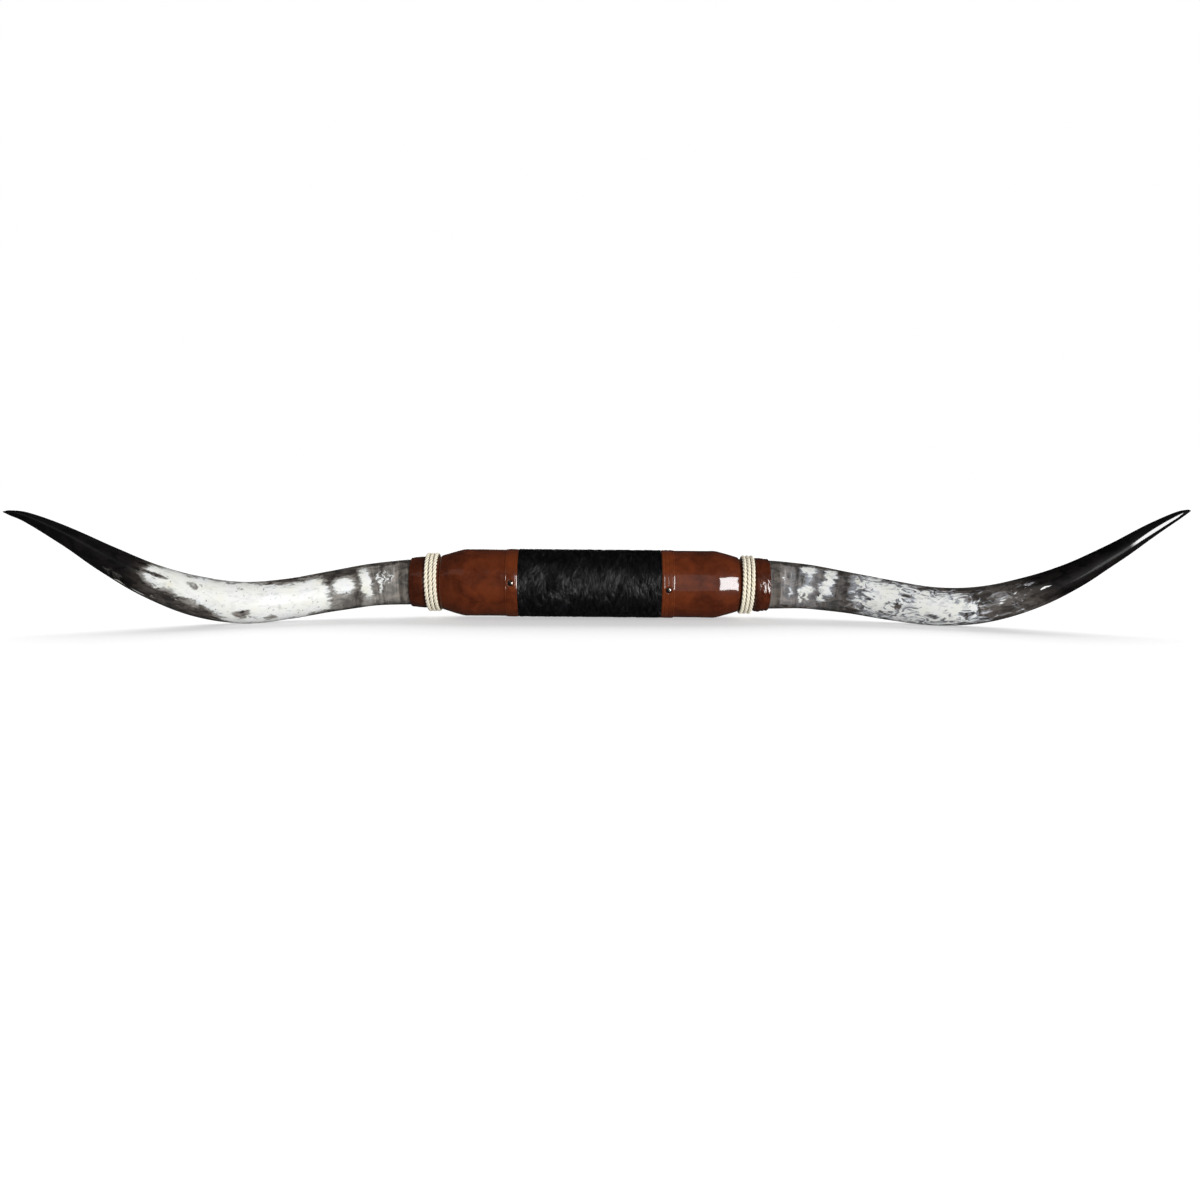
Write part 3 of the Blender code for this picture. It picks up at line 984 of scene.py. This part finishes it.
def press_sleeve(seed, crumple):
    """crumple is how deep the folds at the end of the neck are, in metres."""
    def move(along, turn, radius):
        way = np.abs(along)
        outside = radius > np.interp(way, OUTSIDE_WAYS, OUTSIDE_RADII)
        bumps = 0.00035 * waves(along, turn, radius, 0.030, seed)
        bumps += 0.00012 * waves(along, turn, radius, 0.011, seed + 1)
        crease = -0.00015 * bell(way, SLEEVE_SHOULDER - 0.0010, 0.0010)
        wander = 1.2 * waves(along * 0.3, turn, radius, 0.05, seed + 2)
        pleat = np.sin(PLEATS * turn + 4.0 * wander) * (0.6 + 0.4 * np.sin(5.0 * turn + seed))
        gather = sum(height * bell(way, centre, width) for centre, width, height in GATHERS)
        room = np.where(way > 0.2560, 0.4, 1.0)
        pucker = 0.00045 * np.clip((way - 0.262) / 0.016, 0.0, 1.0) * np.sin(13 * turn + 5.0 * wander)
        slanted = 1.6 * way + 0.6 * radius * np.sin(turn)
        folds = waves(slanted, turn, 0.4 * radius, 0.0045, seed + 3)
        folds *= crumple * np.clip((way - NECK_FOLDS_START) / 0.006, 0.0, 1.0)
        seam = 0.0008 * np.clip((np.abs(turn) - 2.75) / 0.38, 0.0, 1.0) * (turn > 0)
        moved = bumps + crease + room * gather * pleat + 0.8 * pucker + np.maximum(-0.0005, folds) + seam
        return radius + np.where(outside, moved, 0.0)

    return move


left_outline = sleeve_outline(LEFT_NECK, LEFT_HORN_RADII)
right_outline = sleeve_outline(RIGHT_NECK, RIGHT_HORN_RADII)
left_sleeve = model_shell("left_sleeve", LEFT, left_outline, SLEEVE_SIDES, press_sleeve(1, 0.0003))
right_sleeve = model_shell("right_sleeve", RIGHT, right_outline, SLEEVE_SIDES, press_sleeve(5, 0.0016))
print("sleeve triangles", count(left_sleeve), count(right_sleeve))

# %% [markdown]
# ## The finish of the leather
#
# The leather is a waxed mahogany brown. It is redder where it is rubbed and nearly black in its pores. Shade is
# painted in the creases of its grain and towards its cone and neck. The wax gives it a clear gloss over a fine
# grain. The wax is a coat on the shader, and the rest is colour, roughness and bump.

# %% Brown leather
RUBBED, SHADED = (0.200, 0.044, 0.008), (0.010, 0.002, 0.001)
PORE_AND_CREASE_SHADE_TONE, LINE_TONE = (0.022, 0.006, 0.002), (0.22, 0.075, 0.030)


def make_leather(name, light, deep, gloss):
    material, tree, shader = new_material(
        name, IOR=1.5, Specular_IOR_Level=0.12, Coat_Weight=1.0, Coat_Roughness=gloss, Coat_IOR=1.62
    )
    place = own_place(tree)
    large = use_group(BLOTCHES, Place=place, Size=0.030, Contrast=3.6)["Amount"]
    small = use_group(BLOTCHES, Place=place, Size=0.007, Contrast=2.2)["Amount"]
    colour = blend(large, deep, light)
    colour = blend(scaled(small, 0.22), colour, RUBBED)
    # Painted shade: the leather is darkened towards its cone, and more towards its neck.
    from_middle = work_out("ABSOLUTE", work_out("SUBTRACT", parts_of(place)[0], CORE_MIDDLE.x))
    painted_cone_shade = fade(from_middle, 0.190, 0.215, 0.0, 0.14)
    painted_neck_shade = fade(from_middle, 0.235, 0.262, 0.0, 0.26)
    colour = blend(work_out("ADD", painted_cone_shade, painted_neck_shade), colour, SHADED)
    grain = use_group(GRAIN, Place=place, Size=0.0011)
    pore = fade(cloud(place, 1600.0, 1.0), 0.66, 0.74)
    lines = use_group(SCRATCHES, Place=place, Stretch=(240.0, 700.0, 90.0))["Amount"]
    # The pores are dark in their own colour; the darkening in the creases of the grain is painted shade.
    pores_and_crease_shade = work_out("MAXIMUM", scaled(grain["Crease"], 0.30), pore)
    colour = blend(scaled(pores_and_crease_shade, 0.7), colour, PORE_AND_CREASE_SHADE_TONE)
    relief = scaled(small, 0.4, scaled(grain["Height"], 0.5, scaled(pore, -0.8)))
    wire(shader, {
        "Base Color": blend(scaled(lines, 0.12), colour, LINE_TONE),
        "Roughness": scaled(small, 0.22, 0.34),
        "Normal": add_bump(relief, 0.00007, 0.45),
    })
    return material


leather = make_leather("waxed brown leather", (0.142, 0.0250, 0.0052), (0.062, 0.0090, 0.0018), 0.09)
finish_piece(left_sleeve, leather, "leather_sleeve_left")
finish_piece(right_sleeve, leather, "leather_sleeve_right")
print("sleeves finished")

# %% [markdown]
# ## The straps
#
# A leather strap covers each joint of hide and leather. Its edges are pared to a slope, so that they catch the
# light, lines are tooled along them with a creasing iron, and the tack pulls it into a small dimple with a
# raised rim. Slopes and lines are in the outline of the turned shell, and the dimple is pressed afterwards.

# %% Modelling a strap
STRAP_WIDTH = 0.0195
STRAP_RADIUS = 0.0530
EDGE_DROP = 0.0005
EDGE_SLOPE_WIDTH = 0.0015
TOOL_DEPTH = 0.00040
TOOL_HALF_WIDTH = 0.00050
STRAP_SIDES = 180
LEFT_TOOL_LINES = (0.0024, 0.0168)
RIGHT_TOOL_LINES = (0.0042, 0.0105, 0.0170)
LEFT_TACK_TURN = math.radians(4.0)
RIGHT_TACK_TURN = math.radians(-5.5)


def strap_outline(lines):
    near, far = HIDE_HALF_LENGTH, HIDE_HALF_LENGTH + STRAP_WIDTH
    inside = SLEEVE_RADIUS + FIT_GAP
    top = []
    for spot in np.arange(0.0002, STRAP_WIDTH - 0.0001, 0.00027):
        tooled = sum(math.exp(-(((spot - line) / TOOL_HALF_WIDTH) ** 2)) for line in lines)
        crown = 0.00015 * math.sin(math.pi * spot / STRAP_WIDTH)
        from_edge = min(spot, STRAP_WIDTH - spot)
        drop = EDGE_DROP * max(0.0, 1.0 - from_edge / EDGE_SLOPE_WIDTH)
        top.append((near + spot, STRAP_RADIUS + crown - drop - TOOL_DEPTH * tooled))
    edge = STRAP_RADIUS - EDGE_DROP - 0.0001
    return [(near, inside), (near, edge), *top, (far, edge), (far, inside)]


def press_strap(tack_turn, seed):
    def move(along, turn, radius):
        middle = HIDE_HALF_LENGTH + STRAP_WIDTH / 2
        from_tack = np.hypot(np.abs(along) - middle, SLEEVE_RADIUS * (turn - tack_turn))
        dimple = -0.0009 * bell(from_tack, 0.0, 0.0044) + 0.00050 * bell(from_tack, 0.0067, 0.0014)
        seam = 0.0006 * np.clip((np.abs(turn) - 2.85) / 0.28, 0.0, 1.0) * (turn < 0)
        bumps = 0.00018 * waves(along, turn, radius, 0.018, seed)
        return radius + np.where(radius > SLEEVE_RADIUS + 0.0004, dimple + seam + bumps, 0.0)

    return move


left_outline, right_outline = strap_outline(LEFT_TOOL_LINES), strap_outline(RIGHT_TOOL_LINES)
left_strap = model_shell("left_strap", LEFT, left_outline, STRAP_SIDES, press_strap(LEFT_TACK_TURN, 11))
right_strap = model_shell("right_strap", RIGHT, right_outline, STRAP_SIDES, press_strap(RIGHT_TACK_TURN, 14))
strap_leather = make_leather("tooled strap leather", (0.170, 0.031, 0.0050), (0.084, 0.0130, 0.0022), 0.08)
finish_piece(left_strap, strap_leather, "strap_left")
finish_piece(right_strap, strap_leather, "strap_right")
print("strap triangles", count(left_strap), count(right_strap))

# %% [markdown]
# ## The tacks
#
# One dome-headed tack holds each strap at the front. It is a ball cut in half and flattened, with a short
# straight rim, and it is polished nickel that has gone dark.

# %% Modelling a tack
TACK_RADIUS = 0.0045
TACK_DOME = 0.0025
TACK_RIM = 0.0004


def seat_on_core(piece, along, out, turn):
    """Stands a piece modelled along +Z on the front of the round core."""
    lay_over = Matrix.Rotation(math.pi / 2, 4, "X")
    around = Matrix.Rotation(-turn, 4, "X")
    piece.matrix_world = around @ Matrix.Translation((along, -out, 0.0)) @ lay_over


def model_tack(name, side, turn):
    let_go()
    bpy.ops.mesh.primitive_uv_sphere_add(segments=40, ring_count=24, radius=TACK_RADIUS)
    tack = bpy.context.object
    tack.name = name
    bpy.ops.object.mode_set(mode="EDIT")
    bpy.ops.mesh.select_all(action="SELECT")
    bpy.ops.mesh.bisect(plane_co=(0, 0, 0), plane_no=(0, 0, 1), use_fill=False, clear_inner=True)
    bpy.ops.mesh.select_all(action="SELECT")
    bpy.ops.transform.resize(value=(1.0, 1.0, TACK_DOME / TACK_RADIUS), center_override=(0, 0, 0))
    pick(tack, lambda place: place.z < 1e-5)
    bpy.ops.mesh.extrude_region_move(TRANSFORM_OT_translate={"value": (0.0, 0.0, -TACK_RIM)})
    bpy.ops.mesh.edge_face_add()
    face_out(tack)
    seat_on_core(tack, side * (HIDE_HALF_LENGTH + STRAP_WIDTH / 2), STRAP_RADIUS - 0.0003, turn)
    return tack


left_tack = model_tack("left_tack", LEFT, LEFT_TACK_TURN)
right_tack = model_tack("right_tack", RIGHT, RIGHT_TACK_TURN)
print("tack triangles", count(left_tack))

# %% Dark nickel


def make_metal(name, bright, tarnish, smooth, rough):
    material, tree, shader = new_material(name, Metallic=1.0)
    place = own_place(tree)
    blotch = use_group(BLOTCHES, Place=place, Size=0.004, Contrast=2.0)["Amount"]
    scratch = use_group(SCRATCHES, Place=place, Stretch=(300.0, 5000.0, 5000.0))["Amount"]
    wire(shader, {
        "Base Color": blend(blotch, bright, tarnish),
        "Roughness": scaled(scratch, 0.2, scaled(blotch, rough - smooth, smooth)),
        "Normal": add_bump(scratch, 0.00003, 0.4),
    })
    return material


nickel = make_metal("dark nickel", (0.42, 0.38, 0.35), (0.22, 0.19, 0.17), 0.10, 0.22)
finish_piece(left_tack, nickel, "strap_tack_left")
finish_piece(right_tack, nickel, "strap_tack_right")
print("tacks finished")

# %% [markdown]
# ## The ropes
#
# Each rope is three strands laid together, and it goes nearly three times around its neck. A tube with a
# twisted pattern would look smooth at its edge, where a real rope is notched, so the three strands are drawn,
# each as a curve that winds around the rope's middle line while that winds around the neck.

# %% The lay of the rope
ROPE_HALF_TURNS = 1.4
ROPE_PITCH = 0.0065
ROPE_LAY_RADIUS = GROOVE_RADIUS + 2 * FIT_GAP + 0.0028
ROPE_HALF_WIDTH = 0.0032
ROPE_HALF_HEIGHT = 0.0028
STRAND_RADIUS = 0.00152
STRAND_TWIST = 0.0205
STRAND_STEPS = 460
STRANDS = 3


def strand_line(side, strand):
    """The middle line of one of the three strands, and how thick it is there."""
    points, sizes = [], []
    for i in range(STRAND_STEPS + 1):
        t = -ROPE_HALF_TURNS + 2 * ROPE_HALF_TURNS * i / STRAND_STEPS
        way = math.tau * ROPE_LAY_RADIUS * t
        twist = math.tau * (way / STRAND_TWIST + strand / STRANDS)
        offset = ROPE_HALF_WIDTH - STRAND_RADIUS + 0.0001
        rise = (ROPE_HALF_HEIGHT - STRAND_RADIUS + 0.0002) * math.sin(twist)
        along = side * (ROPE_MIDDLE + ROPE_PITCH * t + offset * math.cos(twist))
        sway = 0.0004 * noise.noise(Vector((t * 3.0, side * 4.0, 0.5)))
        out = ROPE_LAY_RADIUS + rise
        points.append((along + sway, -out * math.cos(math.tau * t), out * math.sin(math.tau * t)))
        sizes.append(0.98 + 0.14 * noise.noise(Vector((way / 0.005, strand * 5.0, side * 2.0))))
    return points, sizes


def model_strand(name, side, strand):
    points, sizes = strand_line(side, strand)
    piece = add_curve(name, points, bevel_depth=STRAND_RADIUS, bevel_resolution=3, use_fill_caps=True)
    for point, size in zip(piece.data.splines[0].points, sizes):
        point.radius = size
    take([piece])
    bpy.ops.object.convert(target="MESH")
    return bpy.context.object


def keep_strand_places(piece, strand):
    """Stores how far along the strand and around it each corner is, and how high it stands in the rope."""
    corners = len(piece.data.vertices)
    sides = corners // (STRAND_STEPS + 1)
    number = np.arange(corners)
    step, around = number // sides, math.tau * (number % sides) / sides
    turns = ROPE_HALF_TURNS * (2 * step / STRAND_STEPS - 1.0)
    way = math.tau * ROPE_LAY_RADIUS * turns
    keep_on_corners(piece.data, "strand", np.column_stack([way + strand * 3.0, np.cos(around), np.sin(around)]))
    _, y, z = corner_places(piece).T
    keep_on_corners(piece.data, "depth", (np.hypot(y, z) - ROPE_LAY_RADIUS) / ROPE_HALF_HEIGHT)


def model_rope(name, side):
    strands = []
    for strand in range(STRANDS):
        piece = model_strand(f"{name}_{strand}", side, strand)
        keep_strand_places(piece, strand)
        strands.append(piece)
    take(strands)
    bpy.ops.object.join()
    rope = bpy.context.object
    rope.name = name
    face_out(rope)
    return rope


left_rope = model_rope("left_rope", LEFT)
right_rope = model_rope("right_rope", RIGHT)
print("rope triangles", count(left_rope), count(right_rope))

# %% Cream rope
YARN_STOPS = ((0.26, (0.52, 0.41, 0.20)), (0.40, (0.97, 0.88, 0.67)), (0.58, (1.00, 0.96, 0.83)))
ROPE_SOIL, ROPE_PAINTED_SHADE = (0.60, 0.48, 0.26), (0.13, 0.080, 0.022)


def make_rope_finish():
    material, tree, shader = new_material(
        "cream rope", Sheen_Weight=0.25, Sheen_Roughness=0.5, Specular_IOR_Level=0.25
    )
    yarns = streaks(kept(tree, "strand"), (900.0, 2.2, 2.2), 4.0, 0.65, 0.5)
    soil = use_group(BLOTCHES, Place=own_place(tree), Size=0.006, Contrast=2.2)["Amount"]
    colour = blend(scaled(soil, 0.15), ramp(yarns, YARN_STOPS), ROPE_SOIL)
    # Painted shade: the rope is darkened where its strands sink low, in the gaps of the lay.
    strand_gap_shade = fade(kept(tree, "depth", "Fac"), 0.50, 0.10, 0.0, 0.95)
    wire(shader, {
        "Base Color": blend(strand_gap_shade, colour, ROPE_PAINTED_SHADE),
        "Roughness": scaled(yarns, 0.2, 0.65),
        "Normal": add_bump(yarns, 0.0005, 0.8),
    })
    return material


rope_finish = make_rope_finish()
finish_piece(left_rope, rope_finish, "rope_left", 60.0)
finish_piece(right_rope, rope_finish, "rope_right", 60.0)
print("ropes finished")

# %% [markdown]
# ## The hide
#
# The middle is black hair-on hide. The hair is short, lies close to the skin, and runs around the core. Hair
# particles would not leave Blender as a mesh, so each hair is a thin ribbon of three faces, laid on the skin
# by numbers that are worked out for all hairs at once.

# %% The skin under the hair
HIDE_RADIUS = 0.0533
SKIN_RADIUS = 0.0517
HIDE_EDGE = HIDE_HALF_LENGTH - FIT_GAP


def model_skin():
    inside = CORE_RADIUS + FIT_GAP
    outer = [(along, SKIN_RADIUS) for along in np.linspace(-HIDE_EDGE + 0.0006, HIDE_EDGE - 0.0006, 90)]
    outline = [(-HIDE_EDGE, inside), (-HIDE_EDGE, SKIN_RADIUS - 0.0005), *outer]
    outline += [(HIDE_EDGE, SKIN_RADIUS - 0.0005), (HIDE_EDGE, inside)]

    def move(along, turn, radius):
        return radius + np.where(radius > inside + 0.0007, 0.0002 * waves(along, turn, radius, 0.02, 21), 0.0)

    return model_shell("hide_skin", RIGHT, outline, SLEEVE_SIDES, move)


hide_skin = model_skin()
print("skin triangles", count(hide_skin))

# %% Growing the hair
HAIRS_PER_PIECE = 36000
HAIR_PIECES = 4
HAIR_LENGTH = (0.009, 0.016)
HAIR_WIDTH = 0.00022
HAIR_SHARES = (0.0, 0.33, 0.7, 1.0)
HAIR_LIFT = (0.0, 0.55, 0.8, 0.62)
HAIR_TAPER = (1.0, 0.95, 0.6, 0.0)
PALE_HAIRS = 0.004


def hide_field(along, turn, across, down, seed):
    """Random waves over the hide, from -1 to 1. Their sizes are across the hair and down it, in metres."""
    y, z = HIDE_RADIUS * np.cos(turn) / down, HIDE_RADIUS * np.sin(turn) / down
    return np.array([noise.noise(Vector((a, b, c))) for a, b, c in zip(along / across + 3.7 * seed, y, z + seed)])


def hair_lean(along, turn):
    """How far each hair leans from straight around the core, with a whorl on the left."""
    lean = hide_field(along, turn, 0.024, 0.033, 1)
    tuft_lean = hide_field(along, turn, 0.0050, 0.009, 2)
    whorl = bell(along, -0.068, 0.022) * bell(turn, 0.15, 0.5)
    return 0.7 * lean + 0.75 * tuft_lean + 1.3 * whorl * np.sin((along + 0.068) * 90.0)


def grow_hair(name, seed):
    rng = np.random.default_rng(seed)
    n = HAIRS_PER_PIECE
    along = rng.uniform(-HIDE_EDGE, HIDE_EDGE, n)
    turn = rng.uniform(-math.pi, math.pi, n)
    lean = hair_lean(along, turn) + rng.normal(0.0, 0.10, n)
    tuft = hide_field(along, turn, 0.0020, 0.009, 3)
    length = rng.uniform(*HAIR_LENGTH, n)
    proud = np.clip(rng.uniform(0.15, 0.85, n) + 0.9 * tuft, 0.1, 1.0)
    lift = proud * (HIDE_RADIUS - SKIN_RADIUS - 0.0002) / max(HAIR_LIFT)
    roll = 1.3 * hide_field(along, turn, 0.0022, 0.012, 4) + rng.normal(0.0, 0.45, n)
    width = HAIR_WIDTH * rng.uniform(0.6, 1.2, n)
    corners = []
    for share, rise, taper in zip(HAIR_SHARES, HAIR_LIFT, HAIR_TAPER):
        go = length * share
        bow = 0.25 * go * share * np.sin(lean * 3.0 + seed)
        middle = along + go * np.sin(lean) + bow
        angle = turn - go * np.cos(lean) / HIDE_RADIUS
        half = 0.5 * width * taper
        for sign in ((-1, 1) if taper else (0,)):
            out = SKIN_RADIUS + 0.0001 + np.maximum(0.0, lift * rise + sign * half * roll)
            a = np.clip(middle + sign * half * np.cos(lean), -HIDE_EDGE, HIDE_EDGE)
            t = angle + sign * half * np.sin(lean) / HIDE_RADIUS
            corners.append(np.column_stack([a, -out * np.cos(t), out * np.sin(t)]))
    places = np.stack(corners, axis=1).reshape(-1, 3)
    first = 7 * np.arange(n)[:, None]
    strips = np.array([[0, 1, 3, 2], [2, 3, 5, 4]])
    quads = (first[:, None] + strips[None]).reshape(-1, 4)
    tips = first + np.array([[4, 5, 6]])
    mesh = bpy.data.meshes.new(name)
    mesh.from_pydata(places.tolist(), [], quads.tolist() + tips.tolist())
    tone = np.clip(0.42 + 0.75 * tuft + rng.uniform(-0.25, 0.25, n), 0.0, 0.9)
    tone = np.where(rng.uniform(0.0, 1.0, n) < PALE_HAIRS, 1.0, tone)
    keep_on_corners(mesh, "shade", np.repeat(tone, 7))
    piece = bpy.data.objects.new(name, mesh)
    bpy.context.scene.collection.objects.link(piece)
    return piece


hair = [grow_hair(f"hide_hair_{i + 1}", 40 + i) for i in range(HAIR_PIECES)]
print("hair triangles", [count(piece) for piece in hair])

# %% Black hide
HAIR_STOPS = (
    (0.0, (0.001, 0.001, 0.002)), (0.55, (0.005, 0.005, 0.006)), (0.9, (0.022, 0.022, 0.025)),
    (1.0, (0.20, 0.19, 0.18)),
)


def make_hair_finish():
    material, tree, shader = new_material("black hair", Specular_IOR_Level=0.5)
    shade = kept(tree, "shade", "Fac")
    worn = use_group(BLOTCHES, Place=own_place(tree), Size=0.02, Contrast=1.5)["Amount"]
    colour = ramp(shade, HAIR_STOPS)
    wire(shader, {
        "Base Color": blend(scaled(worn, 0.30), colour, (0.002, 0.002, 0.003)),
        "Roughness": scaled(shade, -0.12, 0.42),
    })
    return material


def make_skin_finish():
    material, tree, shader = new_material("black skin", Specular_IOR_Level=0.3)
    grain = use_group(GRAIN, Place=own_place(tree), Size=0.0009)
    # Painted shade: the skin is darker in the creases round the pebbles of its grain.
    wire(shader, {
        "Base Color": blend(grain["Height"], (0.003, 0.003, 0.003), (0.009, 0.008, 0.009)),
        "Roughness": scaled(grain["Crease"], 0.2, 0.6),
        "Normal": add_bump(grain["Height"], 0.0002, 0.6),
    })
    return material


finish_piece(hide_skin, make_skin_finish(), "hide_wrap")
hair_finish = make_hair_finish()
for piece in hair:
    finish_piece(piece, hair_finish, smooth_to=180.0)
print("hide finished")

# %% [markdown]
# ## The hanger and the core
#
# The saw-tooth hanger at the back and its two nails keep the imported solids, with a brushed plated finish. The
# wooden core is inside the leather and shows nowhere, but it gets its wood too.

# %% Plated steel and turned wood
WOOD_STOPS = ((0.3, (0.32, 0.19, 0.09)), (0.5, (0.52, 0.35, 0.19)), (0.7, (0.62, 0.45, 0.27)))


def make_wood():
    material, tree, shader = new_material("turned wood")
    lines = streaks(own_place(tree), (9.0, 160.0, 160.0), 5.0, 0.6, 1.0)
    wire(shader, {
        "Base Color": ramp(lines, WOOD_STOPS),
        "Roughness": scaled(lines, 0.3, 0.45),
        "Normal": add_bump(lines, 0.0003, 0.4),
    })
    return material


plated = make_metal("plated steel", (0.62, 0.60, 0.57), (0.40, 0.37, 0.33), 0.28, 0.45)
for node in ("hanger_plate", "hanger_nail_left", "hanger_nail_right"):
    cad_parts[node].material_slots[0].material = plated
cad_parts["wood_core"].material_slots[0].material = make_wood()
print("hanger and core finished")

# %% [markdown]
# ## The end
#
# The visual model has to be as large as the solids are. Here every selection is let go.

# %% Letting go
let_go()
